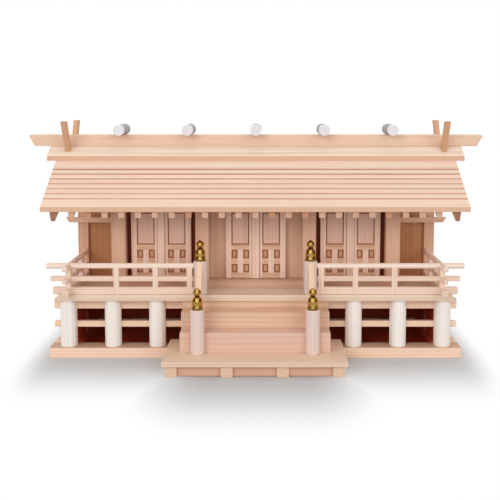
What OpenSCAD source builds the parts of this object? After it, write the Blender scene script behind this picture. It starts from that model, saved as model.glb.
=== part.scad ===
// Three-door household altar with one long roof over the whole front, in plain cypress.
// Front faces -Y, up is +Z, origin on the floor under the middle of the overall box.

/* [Base] */
// Base beyond the edge of the floor on each side
base_ledge = 9.5; // [4:0.5:14]
// Height of the base beams
base_h = 12; // [9:0.5:18]
// Front to back size of the front base beam
base_front_d = 20; // [20:0.5:28]
// Width of the side base beams
base_side_w = 30; // [29.5:0.5:40]
// Base behind the rear wall
base_tail = 4; // [2:0.5:12]
// Thickness of the board that closes the base from below
bottom_t = 3; // [2:0.5:6]

/* [Under the floor] */
// Height of the round columns
column_h = 53.1; // [45:0.5:65]
// Diameter of the round columns
column_dia = 18.4; // [15:0.2:19]
// Centre of the front columns behind the front of the base
column_y = 10.5; // [9.5:0.5:10.5]
// Centre of the outermost columns in from the side of the base
column_inset = 20; // [18.5:0.5:23]
// Gap between the landing and the columns beside it
column_gap = 4.2; // [2:0.2:10]
// Thickness of the tie beams through the columns
tie_t = 6; // [4:0.5:8]
// Height of the upper tie beam
tie_top_h = 11.3; // [7:0.1:14]
// Height of the middle tie rail
tie_mid_h = 6.4; // [4:0.2:9]
// Underside of the middle tie rail above the base
tie_mid_z = 20.9; // [12:0.1:26]
// Length of the tie ends beyond the outermost column centre
tie_end = 16; // [12:0.5:20]
// Thickness of the boards that close the space under the floor
skirt_t = 4; // [3:0.5:6]

/* [Floor] */
// Thickness of the floor boards
floor_t = 6.7; // [5:0.1:9]
// Floor beyond the wing posts on each side
floor_side = 3.2; // [2:0.1:10]
// Radius on the floor's top edges
floor_edge_r = 2.4; // [1:0.2:3]

/* [Railing] */
// Middle of the corner railing post in from the middle of the wing post
rail_inset = 3.1; // [0:0.1:4]
// Middle of the front railing behind the floor's front edge
rail_y = 6.5; // [5:0.25:6.5]
// Length of the bottom rail's ends beyond the corner post
rail_low_end = 17.5; // [12:0.5:24]
// Length of the middle rail's ends beyond the corner post
rail_mid_end = 20; // [12:0.5:26]
// Length of the top rail's ends beyond the corner post
rail_top_end = 24.5; // [14:0.5:30]
// Height of the bottom rail
rail_low_h = 7.7; // [5:0.1:9]
// Thickness of the bottom rail
rail_low_t = 6.6; // [4:0.2:7]
// Underside of the middle rail above the floor
rail_mid_z = 14.6; // [12:0.1:17]
// Height of the middle rail
rail_mid_h = 5.3; // [4:0.1:6]
// Thickness of the middle rail
rail_mid_t = 5; // [3:0.2:6]
// Centre of the round top rail above the floor
rail_top_z = 31.55; // [27:0.05:36]
// Diameter of the round top rail
rail_top_dia = 6.1; // [4:0.1:7]
// Width of a railing post
rail_post_w = 6; // [4:0.2:8]
// Thickness of a railing post
rail_post_t = 5.4; // [4:0.2:6.5]
// Distance of the inner post from the middle of the newel
rail_post_in = 11.6; // [10.8:0.2:16]
// Distance of the middle post from the corner post
rail_post_mid = 96.5; // [85:0.5:105]
// Distance of the outer post from the corner post
rail_post_out = 53; // [45:0.5:60]

/* [Stairs] */
// Width of the stairs
stair_w = 161.6; // [150:0.4:180]
// First step's share of the height from the landing to the floor
step_low_part = 0.39; // [0.3:0.01:0.42]
// Second step's share of the height from the landing to the floor
step_mid_part = 0.33; // [0.28:0.01:0.36]
// Going of each step
step_run = 16.4; // [14:0.2:18]
// Last riser behind the floor's front edge
step_tuck = 1.5; // [0.5:0.25:4]
// Middle of the round newels in from the side of the stairs
newel_inset = 19.4; // [16:0.2:30]
// Diameter of the newels
newel_dia = 15; // [12:0.2:15.4]
// Centre of the upper newels behind the floor's front edge
newel_top_y = 8; // [7.8:0.2:9]
// Centre of the lower newels in front of the first riser
newel_low_out = 2.7; // [0:0.1:6]
// Height of the upper newels
newel_top_h = 37; // [32:0.5:44]
// Height of the lower newels
newel_low_h = 48; // [40:0.5:56]
// Width of the sloping handrails
handrail_w = 6; // [4:0.2:8]
// Height of the sloping handrails, measured upright
handrail_h = 16; // [8:0.5:20]
// Height of the newel top above the end of the handrail
handrail_drop = 1.2; // [0.5:0.1:6]

/* [Landing] */
// Thickness of the landing board
landing_t = 5; // [4:0.1:8]
// Landing beyond the stairs on each side
landing_side = 15.8; // [10:0.2:24]
// Front edge of the landing in front of the base
landing_out = 63; // [58:0.5:80]
// Depth of the landing board that rests on the base
landing_seat = 17; // [10:0.5:19]
// Width of the landing's feet
foot_w = 12.4; // [8:0.2:18]
// Middle of the outer feet in from the ends of the landing
foot_inset = 9.2; // [9:0.2:16]
// Setback of the feet from the landing's front edge
foot_setback = 3; // [0:0.5:8]
// Setback of the panels from the front of the feet
foot_panel_setback = 3.5; // [2:0.5:12]
// Thickness of the panels between the feet
foot_panel_t = 4; // [3:0.5:8]
// Gap under the panels between the feet
foot_panel_lift = 0.5; // [0.3:0.1:2]

/* [Newel caps] */
// Diameter of the cap's collar
cap_collar_dia = 12; // [11:0.1:13.4]
// Height of the cap's collar
cap_collar_h = 2.6; // [1.5:0.1:4]
// Diameter of the cap's body
cap_body_dia = 11.4; // [10:0.1:12.8]
// Height of the cap's straight body above the collar
cap_body_h = 6.4; // [3:0.1:8]
// Height of the cap's round shoulder
cap_shoulder_h = 4.6; // [3:0.1:7]
// Diameter of the cap's neck
cap_neck_dia = 4.8; // [4:0.1:7]
// Height of the cap's neck
cap_neck_h = 1.4; // [0.8:0.1:3]
// Diameter of the cap's bud
cap_bud_dia = 9.2; // [8:0.1:11]
// Height of the round part of the bud
cap_bud_h = 4.8; // [3.5:0.1:7]
// Height of the bud's pointed tip
cap_tip_h = 3.8; // [1:0.1:4]

/* [Hall] */
// Front of the hall behind the front of the base
hall_setback = 38; // [34:0.5:44]
// Depth of the hall
hall_d = 96; // [90:1:120]
// Height of the lintels
lintel_h = 18; // [14:0.1:26]
// Height of the sill under the pillars
sill_h = 7.5; // [5:0.1:10]
// Front to back size of the pillars
pillar_d = 13; // [9:0.5:14]
// Width of the hall's corner pillars
pillar_corner_w = 16; // [10:0.2:17]
// Width of the boards that show between the centre doors and the pillars
jamb_w = 19.2; // [12:0.2:26]
// Width of the pillars beside the centre doors
pillar_mid_w = 15.4; // [10:0.2:16]
// Height of the plates on the walls
plate_h = 12.3; // [8:0.1:20]
// Thickness of the wall boards
wall_t = 4; // [3:0.5:6]
// Setback of the lintels from the face of the pillars
lintel_setback = 2; // [1:0.5:6]
// Distance of the boards beside the doors behind the leaves
jamb_gap = 2.8; // [2.4:0.1:5]
// Thickness of the boards beside the doors
jamb_t = 3.4; // [2:0.2:4]
// Lap of the boards beside the doors behind the leaves
jamb_lap = 2; // [1:0.2:2.6]

/* [Wings] */
// Width of the panels between the hall and the wing posts
wing_w = 38.4; // [30:0.1:45]
// Width of the wing posts
wing_post_w = 12.4; // [9:0.2:13.6]
// Front to back size of the wing posts
wing_post_d = 12; // [8:0.5:14]
// Front of the wings behind the front of the base
wing_setback = 90; // [84:0.5:94]
// Setback of the wing panels from the face of the posts
wing_panel_setback = 4; // [1:0.5:8]
// Underside of the wing beam above the floor
wing_beam_z = 67.8; // [60:0.2:76]
// Height of the wing beam
wing_beam_h = 6.2; // [4:0.1:9]
// Thickness of the wing beam
wing_beam_t = 5; // [3:0.2:8]
// Length of the wing beam's nose beyond the middle of the post
wing_nose = 19.6; // [15:0.1:26]
// Slant of the wing beam's nose
wing_nose_cut = 4.2; // [1:0.2:6]

/* [Doors] */
// Width of one pair of doors
door_pair_w = 69.6; // [60:0.2:78]
// Gap between a side pair of doors and the pillar next to the middle
door_gap_in = 5.8; // [4:0.1:9]
// Gap between a side pair of doors and the corner pillar
door_gap_out = 5.2; // [4:0.1:9]
// Thickness of a door leaf
leaf_t = 4; // [3:0.1:5]
// Front of the leaves behind the face of the pillars
leaf_setback = 10; // [9:0.5:10.5]
// Height of a door leaf
leaf_h = 83.7; // [76:0.1:86]
// Gap above and below a leaf
leaf_gap = 0.5; // [0.3:0.05:1]
// Gap between the two leaves of a pair
meeting_gap = 0.4; // [0.3:0.05:1]
// Width of the outer stile
stile_outer_w = 6.5; // [5:0.1:8]
// Width of the meeting stile
stile_meeting_w = 7.4; // [6:0.1:9]
// Height of the top rail of a leaf
leaf_top_rail_h = 6.5; // [4:0.1:9]
// Height of the bottom rail of a leaf
leaf_low_rail_h = 6.5; // [4:0.1:9]
// Height of a small window
window_h = 10; // [7:0.1:11]
// Bar between the two rows of small windows
window_bar_h = 7; // [4:0.1:9]
// Bar between the two columns of small windows
window_bar_w = 6.6; // [4:0.1:9]
// Height of the rail over the small windows
lock_rail_h = 6; // [4:0.1:9]
// Depth of the small windows
window_depth = 1.8; // [0.8:0.1:2]
// Depth of the plain upper panel
panel_depth = 1.2; // [0.6:0.1:2]
// Width of the cover strip over the meeting stiles
strip_w = 8.1; // [6:0.1:9]
// Thickness of the cover strip
strip_t = 2; // [1:0.1:2.2]
// Distance of the pivot from the outer edge of a leaf
pivot_inset = 3; // [2:0.1:4]
// Diameter of the pivot pins
pivot_dia = 2; // [1.6:0.1:2.4]
// Length of the pivot pins
pivot_len = 3.4; // [2:0.1:4.5]
// Play of a pivot pin in its hole, on the radius
pivot_play = 0.06; // [0.03:0.01:0.09]
// Depth of a hole beyond the end of its pin
pivot_end_play = 0.5; // [0.3:0.1:1]

/* [Roof] */
// Slope of the roof in degrees
roof_pitch = 34.1; // [30:0.1:36]
// Overhang of the eaves beyond the walls
eave_overhang = 43; // [40:0.5:50]
// Roof beyond the bargeboards on each side
verge_overhang = 9.9; // [6:0.1:20]
// Thickness of the roof, measured upright at the eaves
roof_t = 5.5; // [4:0.1:8]
// Width of the lowest course of boards, measured level
course_low_w = 12; // [9:0.1:15]
// Width of the courses above it, measured level
course_w = 7.1; // [5:0.1:8]
// Number of lapped edges up the slope
course_count = 7; // [3:1:7]
// Height of each lapped edge
course_lap = 1; // [0.5:0.1:1.6]
// Middle of the outermost rafter in from the outer edge of the wing panel
rafter_inset = 3.1; // [0:0.1:6]
// Number of rafters on each side of the middle one
rafter_side_count = 11; // [6:1:11]
// Width of a rafter
rafter_w = 6.6; // [4:0.1:9]
// Height of a rafter, measured upright
rafter_h = 8.3; // [5:0.1:10]
// Setback of the rafter ends from the eaves
rafter_setback = 2; // [1:0.5:8]
// Gap between the wing posts and the bargeboards
barge_gap = 1; // [0.6:0.1:8]
// Thickness of a bargeboard
barge_t = 7; // [5:0.1:10]
// Thickness of a bargeboard at the bottom of its foot
barge_foot_t = 4.6; // [3:0.1:4.8]
// Height of the taper at a bargeboard's foot
barge_taper_h = 8.4; // [4:0.1:12]
// Height of a bargeboard, measured upright
barge_h = 12; // [8:0.1:16]
// Setback of the bargeboards from the eaves
barge_setback = 2; // [1:0.5:6]

/* [Ridge] */
// Saddle boards beyond the verges on each side
saddle_over = 9.8; // [4:0.1:18]
// Width of a saddle board from the ridge, measured level
saddle_d = 24; // [18:0.5:30]
// Thickness of a saddle board, measured upright
saddle_t = 5.6; // [4:0.1:8]
// Ridge board beyond the saddle boards on each side
ridge_over = 25.5; // [14:0.5:40]
// Height of the ridge board
ridge_h = 13.4; // [9:0.1:18]
// Thickness of the ridge board
ridge_t = 16; // [10:0.5:20]
// Slant of the ridge board's ends
ridge_end_cut = 7; // [2:0.5:12]
// Width of the small bevel on the tips of the ridge board
ridge_tip_bevel = 1.6; // [0.5:0.1:3]
// Diameter of the logs on the ridge
log_dia = 13.3; // [10:0.1:16]
// Length of the logs on the ridge
log_len = 43; // [30:0.5:50]
// Spacing of the logs on the ridge
log_pitch = 80.4; // [60:0.1:90]
// Depth that each log is cut to sit on the ridge
log_seat = 0.6; // [0.3:0.1:1.5]
// Middle of the forked finials in from the ends of the saddle boards
finial_inset = 22.5; // [12:0.5:40]
// Width of a finial
finial_w = 6; // [5:0.1:9]
// Thickness of a finial
finial_t = 6; // [4:0.1:8]
// Lean of a finial from upright in degrees
finial_lean = 27; // [15:0.5:34]
// Height of the finials above the ridge board
finial_rise = 16.6; // [10:0.1:24]
// Distance of a finial's foot from the face of the ridge board
finial_foot = 2.6; // [1:0.1:5]

/* [Hidden] */
$fn = 48;

// Places from the middle to the side, from the doors outward
door_half_w = door_pair_w / 2;
pivot_x = door_half_w - pivot_inset;
pillar_mid_x = door_half_w + jamb_w;
door_pitch = pillar_mid_x + pillar_mid_w + door_gap_in + door_half_w;
hall_x = door_pitch + door_half_w + door_gap_out + pillar_corner_w;
wing_inner_x = hall_x + wing_w;
wing_outer_x = wing_inner_x + wing_post_w;
wing_post_x = (wing_inner_x + wing_outer_x) / 2;
floor_w = 2 * (wing_outer_x + floor_side);
base_w = floor_w + 2 * base_ledge;

// Stairs and landing, and the columns between the landing and the sides
newel_x = stair_w / 2 - newel_inset;
landing_w = stair_w + 2 * landing_side;
foot_outer_x = landing_w / 2 - foot_inset;
foot_inner_x = foot_outer_x / 3;
column_outer_x = base_w / 2 - column_inset;
column_inner_x = landing_w / 2 + column_gap + column_dia / 2;
column_pitch = (column_outer_x - column_inner_x) / 2;
skirt_x = column_outer_x - tie_t / 2 - skirt_t;

// Lengths along the ridge
rafter_pitch = (wing_inner_x - rafter_inset) / rafter_side_count;
barge_x = wing_outer_x + barge_gap + barge_t / 2;
roof_w = 2 * (barge_x + barge_t / 2 + verge_overhang);
saddle_w = roof_w + 2 * saddle_over;
ridge_w = saddle_w + 2 * ridge_over;
finial_x = saddle_w / 2 - finial_inset;

// Levels
floor_under_z = base_h + column_h;
floor_z = floor_under_z + floor_t;
sill_z = floor_z + sill_h;
leaf_z = sill_z + leaf_gap;
lintel_z = leaf_z + leaf_h + leaf_gap;
plate_z = lintel_z + lintel_h;
wall_top_z = plate_z + plate_h;
landing_z = base_h + landing_t;
step_low_z = landing_z + step_low_part * (floor_z - landing_z);
step_mid_z = step_low_z + step_mid_part * (floor_z - landing_z);
step_levels = [landing_z, step_low_z, step_mid_z, floor_under_z];

// Places from front to back; the middle of the overall depth is the origin
overall_d = landing_out + hall_setback + hall_d + eave_overhang;
landing_y = -overall_d / 2;
base_y = landing_y + landing_out;
hall_y = base_y + hall_setback;
rear_y = hall_y + hall_d;
ridge_y = hall_y + hall_d / 2;
roof_half_d = hall_d / 2 + eave_overhang;
wing_y = base_y + wing_setback;
wing_panel_y = wing_y + wing_panel_setback;
rail_front_y = base_y + rail_y;
newel_upper_y = base_y + newel_top_y;
riser_y = [for (i = [0 : 2]) base_y + step_tuck - (2 - i) * step_run];
newel_lower_y = riser_y[0] - newel_low_out;
tie_y = base_y + column_y;
leaf_y = hall_y + leaf_setback;
pivot_y = leaf_y + leaf_t / 2;
jamb_y = leaf_y + leaf_t + jamb_gap;
sill_d = leaf_setback + leaf_t + jamb_gap + jamb_t;

// Roof heights over any place from front to back
eave_z = wall_top_z - eave_overhang * tan(roof_pitch);
function roof_under(y) = eave_z + (roof_half_d - abs(y - ridge_y)) * tan(roof_pitch);
function roof_top(y) = roof_under(y) + roof_t;
saddle_y = ridge_y - saddle_d;
ridge_z = roof_top(ridge_y - ridge_t / 2) + saddle_t;
ridge_top_z = ridge_z + ridge_h;
finial_top_z = ridge_top_z + finial_rise;

// Small overlap at flush faces, and the reach of cutting shapes past what they cut
eps = 0.01;
cut = 1;

cypress = "#ecd0b4";
pale_cypress = "#f1e8e2";
shaded_cypress = "#c99c7c";
brass = "#d8b04c";

// Box between two corners
module block(x, y, z) {
    translate([x[0], y[0], z[0]])
        cube([x[1] - x[0], y[1] - y[0], z[1] - z[0]]);
}

// A piece and its mirror image on the other side
module both_sides() {
    children();
    mirror([1, 0, 0])
        children();
}

// A piece of the front slope of the roof moved to the rear slope
module on_rear_slope() {
    translate([0, 2 * ridge_y, 0])
        mirror([0, 1, 0])
            children();
}

module both_slopes() {
    children();
    on_rear_slope()
        children();
}

// Outline in Y and Z pulled along X
module along_x(outline, x) {
    translate([x[0], 0, 0])
        rotate([90, 0, 90])
            linear_extrude(x[1] - x[0])
                polygon(outline);
}

// Outline in X and Z pulled along Y
module along_y(outline, y) {
    translate([0, y[1], 0])
        rotate([90, 0, 0])
            linear_extrude(y[1] - y[0])
                polygon(outline);
}

// Upright round bar
module round_bar(x, y, z, dia) {
    translate([x, y, z[0]])
        cylinder(h = z[1] - z[0], d = dia);
}

// Upright piece whose top follows the underside of the roof
module to_roof(x, y, z) {
    along_x([
        [y[0], z],
        [y[1], z],
        [y[1], roof_under(y[1])],
        if (y[0] < ridge_y && y[1] > ridge_y) [ridge_y, roof_under(ridge_y)],
        [y[0], roof_under(y[0])]
    ], x);
}

// Base frame of four beams
module base_front_beam() {
    color(cypress)
        block([-base_w / 2, base_w / 2], [base_y, base_y + base_front_d], [0, base_h]);
}

base_rear_y = rear_y + base_tail - base_front_d;

module base_rear_beam() {
    color(cypress)
        block([-base_w / 2, base_w / 2], [base_rear_y, base_rear_y + base_front_d], [0, base_h]);
}

module base_side_beams() {
    color(cypress)
        both_sides()
            block([base_w / 2 - base_side_w, base_w / 2], [base_y + base_front_d, base_rear_y], [0, base_h]);
}

module base_bottom_board() {
    x = base_w / 2 - base_side_w;
    color(shaded_cypress)
        block([-x, x], [base_y + base_front_d, base_rear_y], [0, bottom_t]);
}

// Tie beams pass through the round columns
column_rear_y = rear_y - column_y;
column_side_y = [(tie_y + column_rear_y) / 2, column_rear_y];
tie_mid_levels = [base_h + tie_mid_z, base_h + tie_mid_z + tie_mid_h];
tie_top_levels = [floor_under_z - tie_top_h, floor_under_z];

module tie_front(levels) {
    block([stair_w / 2, column_outer_x + tie_end], [tie_y, tie_y + tie_t], levels);
}

module tie_side(levels) {
    block([column_outer_x - tie_t / 2, column_outer_x + tie_t / 2],
        [tie_y + tie_t, column_rear_y + column_y - cut], levels);
}

module ties_front() {
    tie_front(tie_mid_levels);
    tie_front(tie_top_levels);
}

module ties_side() {
    tie_side(tie_mid_levels);
    tie_side(tie_top_levels);
}

module column_bars() {
    for (i = [0 : 2])
        round_bar(column_outer_x - i * column_pitch, tie_y, [base_h, floor_under_z], column_dia);
    for (y = column_side_y)
        round_bar(column_outer_x, y, [base_h, floor_under_z], column_dia);
}

module columns() {
    color(pale_cypress)
        both_sides()
            difference() {
                column_bars();
                ties_front();
                ties_side();
            }
}

module tie_beams_front() {
    color(cypress)
        both_sides()
            ties_front();
}

module tie_beams_side() {
    color(cypress)
        both_sides()
            ties_side();
}

// Boards between the columns close the space under the floor at the sides and the rear
module skirt_side_boards() {
    color(shaded_cypress)
        both_sides()
            difference() {
                block([skirt_x, skirt_x + skirt_t], [tie_y + tie_t, column_rear_y], [base_h, floor_under_z]);
                column_bars();
            }
}

module skirt_rear_board() {
    color(shaded_cypress)
        difference() {
            block([-column_outer_x, column_outer_x], [column_rear_y, column_rear_y + skirt_t],
                [base_h, floor_under_z]);
            both_sides() {
                column_bars();
                ties_side();
            }
        }
}

// Floor boards with rounded top edges
module veranda_board() {
    r = floor_edge_r;
    color(cypress)
        union() {
            block([-floor_w / 2, floor_w / 2], [base_y, hall_y], [floor_under_z, floor_z - r]);
            block([-floor_w / 2 + r, floor_w / 2 - r], [base_y + r, hall_y], [floor_under_z, floor_z]);
            intersection() {
                union() {
                    translate([-floor_w / 2, base_y + r, floor_z - r])
                        rotate([0, 90, 0])
                            cylinder(h = floor_w, r = r);
                    block([-floor_w / 2, floor_w / 2], [base_y + r, hall_y], [floor_under_z, floor_z]);
                }
                union() {
                    both_sides()
                        translate([floor_w / 2 - r, hall_y, floor_z - r])
                            rotate([90, 0, 0])
                                cylinder(h = hall_setback, r = r);
                    block([-floor_w / 2 + r, floor_w / 2 - r], [base_y, hall_y], [floor_under_z, floor_z]);
                }
            }
        }
}

module hall_floor() {
    r = floor_edge_r;
    color(cypress)
        union() {
            block([-floor_w / 2, floor_w / 2], [hall_y, rear_y], [floor_under_z, floor_z - r]);
            block([-floor_w / 2 + r, floor_w / 2 - r], [hall_y, rear_y], [floor_under_z, floor_z]);
            both_sides()
                translate([floor_w / 2 - r, rear_y, floor_z - r])
                    rotate([90, 0, 0])
                        cylinder(h = hall_d, r = r);
        }
}

// Railings; the round top rail lies on the posts
rail_corner_x = wing_post_x - rail_inset;
rail_post_x = [newel_x + rail_post_in, rail_corner_x - rail_post_mid, rail_corner_x - rail_post_out, rail_corner_x];
rail_top_level = floor_z + rail_top_z;

module front_railing() {
    inner = newel_x;
    difference() {
        union() {
            block([inner, rail_corner_x + rail_low_end],
                [rail_front_y - rail_low_t / 2, rail_front_y + rail_low_t / 2], [floor_z, floor_z + rail_low_h]);
            block([inner, rail_corner_x + rail_mid_end],
                [rail_front_y - rail_mid_t / 2, rail_front_y + rail_mid_t / 2],
                [floor_z + rail_mid_z, floor_z + rail_mid_z + rail_mid_h]);
            for (x = rail_post_x)
                block([x - rail_post_w / 2, x + rail_post_w / 2],
                    [rail_front_y - rail_post_t / 2, rail_front_y + rail_post_t / 2], [floor_z, rail_top_level]);
            translate([inner, rail_front_y, rail_top_level])
                rotate([0, 90, 0])
                    cylinder(h = rail_corner_x + rail_top_end - inner, d = rail_top_dia);
        }
        round_bar(newel_x, newel_upper_y, [floor_z - cut, floor_z + newel_top_h + cut], newel_dia);
    }
}

side_post_gap = (wing_y - rail_front_y) / 3;

module side_railing() {
    x = rail_corner_x;
    difference() {
        union() {
            block([x - rail_low_t / 2, x + rail_low_t / 2], [rail_front_y - rail_low_end, wing_y],
                [floor_z, floor_z + rail_low_h]);
            block([x - rail_mid_t / 2, x + rail_mid_t / 2], [rail_front_y - rail_mid_end, wing_y],
                [floor_z + rail_mid_z, floor_z + rail_mid_z + rail_mid_h]);
            for (i = [1 : 2])
                block([x - rail_post_t / 2, x + rail_post_t / 2],
                    [rail_front_y + i * side_post_gap - rail_post_w / 2,
                        rail_front_y + i * side_post_gap + rail_post_w / 2], [floor_z, rail_top_level]);
            translate([x, wing_y, rail_top_level])
                rotate([90, 0, 0])
                    cylinder(h = wing_y - rail_front_y + rail_mid_end, d = rail_top_dia);
        }
        front_railing();
    }
}

module railing_front_left() {
    color(cypress)
        mirror([1, 0, 0])
            front_railing();
}

module railing_front_right() {
    color(cypress)
        front_railing();
}

module railing_side_left() {
    color(cypress)
        mirror([1, 0, 0])
            side_railing();
}

module railing_side_right() {
    color(cypress)
        side_railing();
}

// Round newels with turned caps, and the handrails that slope between them
newel_upper_z = floor_z + newel_top_h;
newel_lower_z = landing_z + newel_low_h;

module newel_bars(over = 0) {
    both_sides() {
        round_bar(newel_x, newel_upper_y, [floor_z, newel_upper_z + over], newel_dia);
        round_bar(newel_x, newel_lower_y, [landing_z, newel_lower_z + over], newel_dia);
    }
}

module newels() {
    color(pale_cypress)
        newel_bars();
}

module cap() {
    shoulder_z = cap_collar_h + cap_body_h;
    neck_z = shoulder_z + cap_shoulder_h;
    bud_z = neck_z + cap_neck_h;
    neck_r = cap_neck_dia / 2;
    body_r = cap_body_dia / 2;
    bud_r = cap_bud_dia / 2;
    bud_low = -60;
    bud_high = 45;
    bud_scale = cap_bud_h / (sin(bud_high) - sin(bud_low));
    arc = 15;
    rotate_extrude()
        polygon(concat(
            [
                [0, 0],
                [cap_collar_dia / 2, 0],
                [cap_collar_dia / 2, cap_collar_h],
                [body_r, cap_collar_h]
            ],
            [
                for (a = [0 : arc : 90])
                    [neck_r + (body_r - neck_r) * cos(a), shoulder_z + cap_shoulder_h * sin(a)]
            ],
            [[neck_r, bud_z]],
            [
                for (a = [bud_low : arc : bud_high])
                    [bud_r * cos(a), bud_z + bud_scale * (sin(a) - sin(bud_low))]
            ],
            [[0, bud_z + cap_bud_h + cap_tip_h]]
        ));
}

module newel_caps() {
    color(brass)
        both_sides() {
            translate([newel_x, newel_upper_y, newel_upper_z])
                cap();
            translate([newel_x, newel_lower_y, newel_lower_z])
                cap();
        }
}

module stair_handrails() {
    low = [newel_lower_y + newel_dia / 2, newel_lower_z - handrail_drop];
    high = [newel_upper_y - newel_dia / 2, newel_upper_z - handrail_drop];
    reach = [cut, cut * (high[1] - low[1]) / (high[0] - low[0])];
    depth = [0, handrail_h];
    color(cypress)
        both_sides()
            difference() {
                along_x([low - reach - depth, high + reach - depth, high + reach, low - reach],
                    [newel_x - handrail_w / 2, newel_x + handrail_w / 2]);
                newel_bars(handrail_h);
            }
}

// Steps as stacked blocks; the lower newels are let into the first one
module step(i) {
    block([-stair_w / 2, stair_w / 2], [riser_y[i], tie_y], [step_levels[i], step_levels[i + 1]]);
}

module step_lower() {
    color(cypress)
        difference() {
            step(0);
            newel_bars();
        }
}

module step_middle() {
    color(cypress)
        difference() {
            step(1);
            newel_bars();
        }
}

module step_upper() {
    color(cypress)
        step(2);
}

// Landing on four feet with panels between them
module landing_board() {
    color(cypress)
        block([-landing_w / 2, landing_w / 2], [landing_y, base_y + landing_seat], [base_h, landing_z]);
}

foot_y = landing_y + foot_setback;
foot_x = [-foot_outer_x, -foot_inner_x, foot_inner_x, foot_outer_x];

module landing_feet() {
    color(cypress)
        for (x = foot_x)
            block([x - foot_w / 2, x + foot_w / 2], [foot_y, base_y], [0, base_h]);
}

module landing_panels() {
    y = foot_y + foot_panel_setback;
    color(shaded_cypress)
        for (i = [0 : 2])
            block([foot_x[i] + foot_w / 2, foot_x[i + 1] - foot_w / 2], [y, y + foot_panel_t],
                [foot_panel_lift, base_h]);
}

// Sill, lintels and pillars of the hall front
door_x = [-door_pitch, 0, door_pitch];

module pivot_holes() {
    depth = pivot_len + pivot_end_play;
    bore = pivot_dia + 2 * pivot_play;
    for (x = door_x)
        for (side = [-1, 1]) {
            round_bar(x + side * pivot_x, pivot_y, [leaf_z - depth, leaf_z + cut], bore);
            round_bar(x + side * pivot_x, pivot_y, [lintel_z - cut, lintel_z - leaf_gap + depth], bore);
        }
}

module sill() {
    color(cypress)
        difference() {
            block([-hall_x, hall_x], [hall_y, hall_y + sill_d], [floor_z, sill_z]);
            pivot_holes();
        }
}

module lintels() {
    y = [hall_y + lintel_setback, hall_y + sill_d];
    color(cypress)
        difference() {
            union() {
                block([-pillar_mid_x, pillar_mid_x], y, [lintel_z, plate_z]);
                both_sides()
                    block([pillar_mid_x + pillar_mid_w, hall_x - pillar_corner_w], y, [lintel_z, plate_z]);
            }
            pivot_holes();
        }
}

module front_pillars() {
    color(cypress)
        both_sides() {
            block([hall_x - pillar_corner_w, hall_x], [hall_y, hall_y + pillar_d], [sill_z, plate_z]);
            block([pillar_mid_x, pillar_mid_x + pillar_mid_w], [hall_y, hall_y + pillar_d], [sill_z, plate_z]);
        }
}

module corner_posts() {
    color(cypress)
        both_sides() {
            to_roof([wing_inner_x, wing_outer_x], [wing_y, wing_y + wing_post_d], floor_z);
            to_roof([wing_inner_x, wing_outer_x], [rear_y - wing_post_d, rear_y], floor_z);
        }
}

// Boards behind the gaps beside the doors
module jamb_boards() {
    color(cypress)
        both_sides() {
            block([door_half_w - jamb_lap, door_pitch - door_half_w + jamb_lap], [jamb_y, jamb_y + jamb_t],
                [sill_z, lintel_z]);
            block([door_pitch + door_half_w - jamb_lap, hall_x - wall_t], [jamb_y, jamb_y + jamb_t],
                [sill_z, lintel_z]);
        }
}

module wall_plates() {
    color(cypress) {
        to_roof([-hall_x, hall_x], [hall_y, hall_y + pillar_d], plate_z);
        to_roof([-wing_inner_x, wing_inner_x], [rear_y - pillar_d, rear_y], plate_z);
    }
}

// Wings set back beside the hall, each with a beam whose nose runs past the post
module wing_panels() {
    color(shaded_cypress)
        both_sides()
            to_roof([hall_x, wing_inner_x], [wing_panel_y, wing_panel_y + wall_t], floor_z);
}

module wing_beams() {
    tip = wing_post_x + wing_nose;
    z = floor_z + wing_beam_z;
    color(cypress)
        both_sides()
            along_y([
                [hall_x, z],
                [tip - wing_nose_cut, z],
                [tip, z + wing_beam_h],
                [hall_x, z + wing_beam_h]
            ], [wing_y - wing_beam_t, wing_y]);
}

module hall_side_walls() {
    color(cypress)
        both_sides() {
            to_roof([hall_x - wall_t, hall_x], [hall_y + sill_d, wing_panel_y + wall_t], floor_z);
            block([hall_x - wall_t, hall_x], [hall_y + pillar_d, hall_y + sill_d], [sill_z, plate_z]);
        }
}

module wing_side_walls() {
    x = wing_post_x + wall_t / 2;
    color(cypress)
        both_sides()
            to_roof([x - wall_t, x], [wing_y + wing_post_d, rear_y - wing_post_d], floor_z);
}

module rear_wall() {
    color(cypress)
        block([-wing_inner_x, wing_inner_x], [rear_y - wall_t, rear_y], [floor_z, plate_z]);
}

// Door leaf on the +X side of its pair, closed; it turns on pins at its outer edge
module leaf(with_strip) {
    x0 = meeting_gap / 2;
    x1 = door_half_w;
    inner = x0 + stile_meeting_w;
    outer = x1 - stile_outer_w;
    window_w = (outer - inner - window_bar_w) / 2;
    window_z = [leaf_z + leaf_low_rail_h, leaf_z + leaf_low_rail_h + window_h + window_bar_h];
    panel_z = window_z[1] + window_h + lock_rail_h;
    difference() {
        union() {
            block([x0, x1], [leaf_y, leaf_y + leaf_t], [leaf_z, leaf_z + leaf_h]);
            round_bar(pivot_x, pivot_y, [leaf_z - pivot_len, leaf_z + leaf_h + pivot_len], pivot_dia);
            if (with_strip)
                block([-strip_w / 2, strip_w / 2], [leaf_y - strip_t, leaf_y], [leaf_z, leaf_z + leaf_h]);
        }
        block([inner, outer], [leaf_y - eps, leaf_y + panel_depth],
            [panel_z, leaf_z + leaf_h - leaf_top_rail_h]);
        for (z = window_z)
            for (x = [inner, outer - window_w])
                block([x, x + window_w], [leaf_y - eps, leaf_y + window_depth], [z, z + window_h]);
    }
}

module left_leaf(x) {
    color(cypress)
        translate([x, 0, 0])
            mirror([1, 0, 0])
                leaf(false);
}

module right_leaf(x) {
    color(cypress)
        translate([x, 0, 0])
            leaf(true);
}

module left_door_left_leaf() {
    left_leaf(door_x[0]);
}

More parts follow.
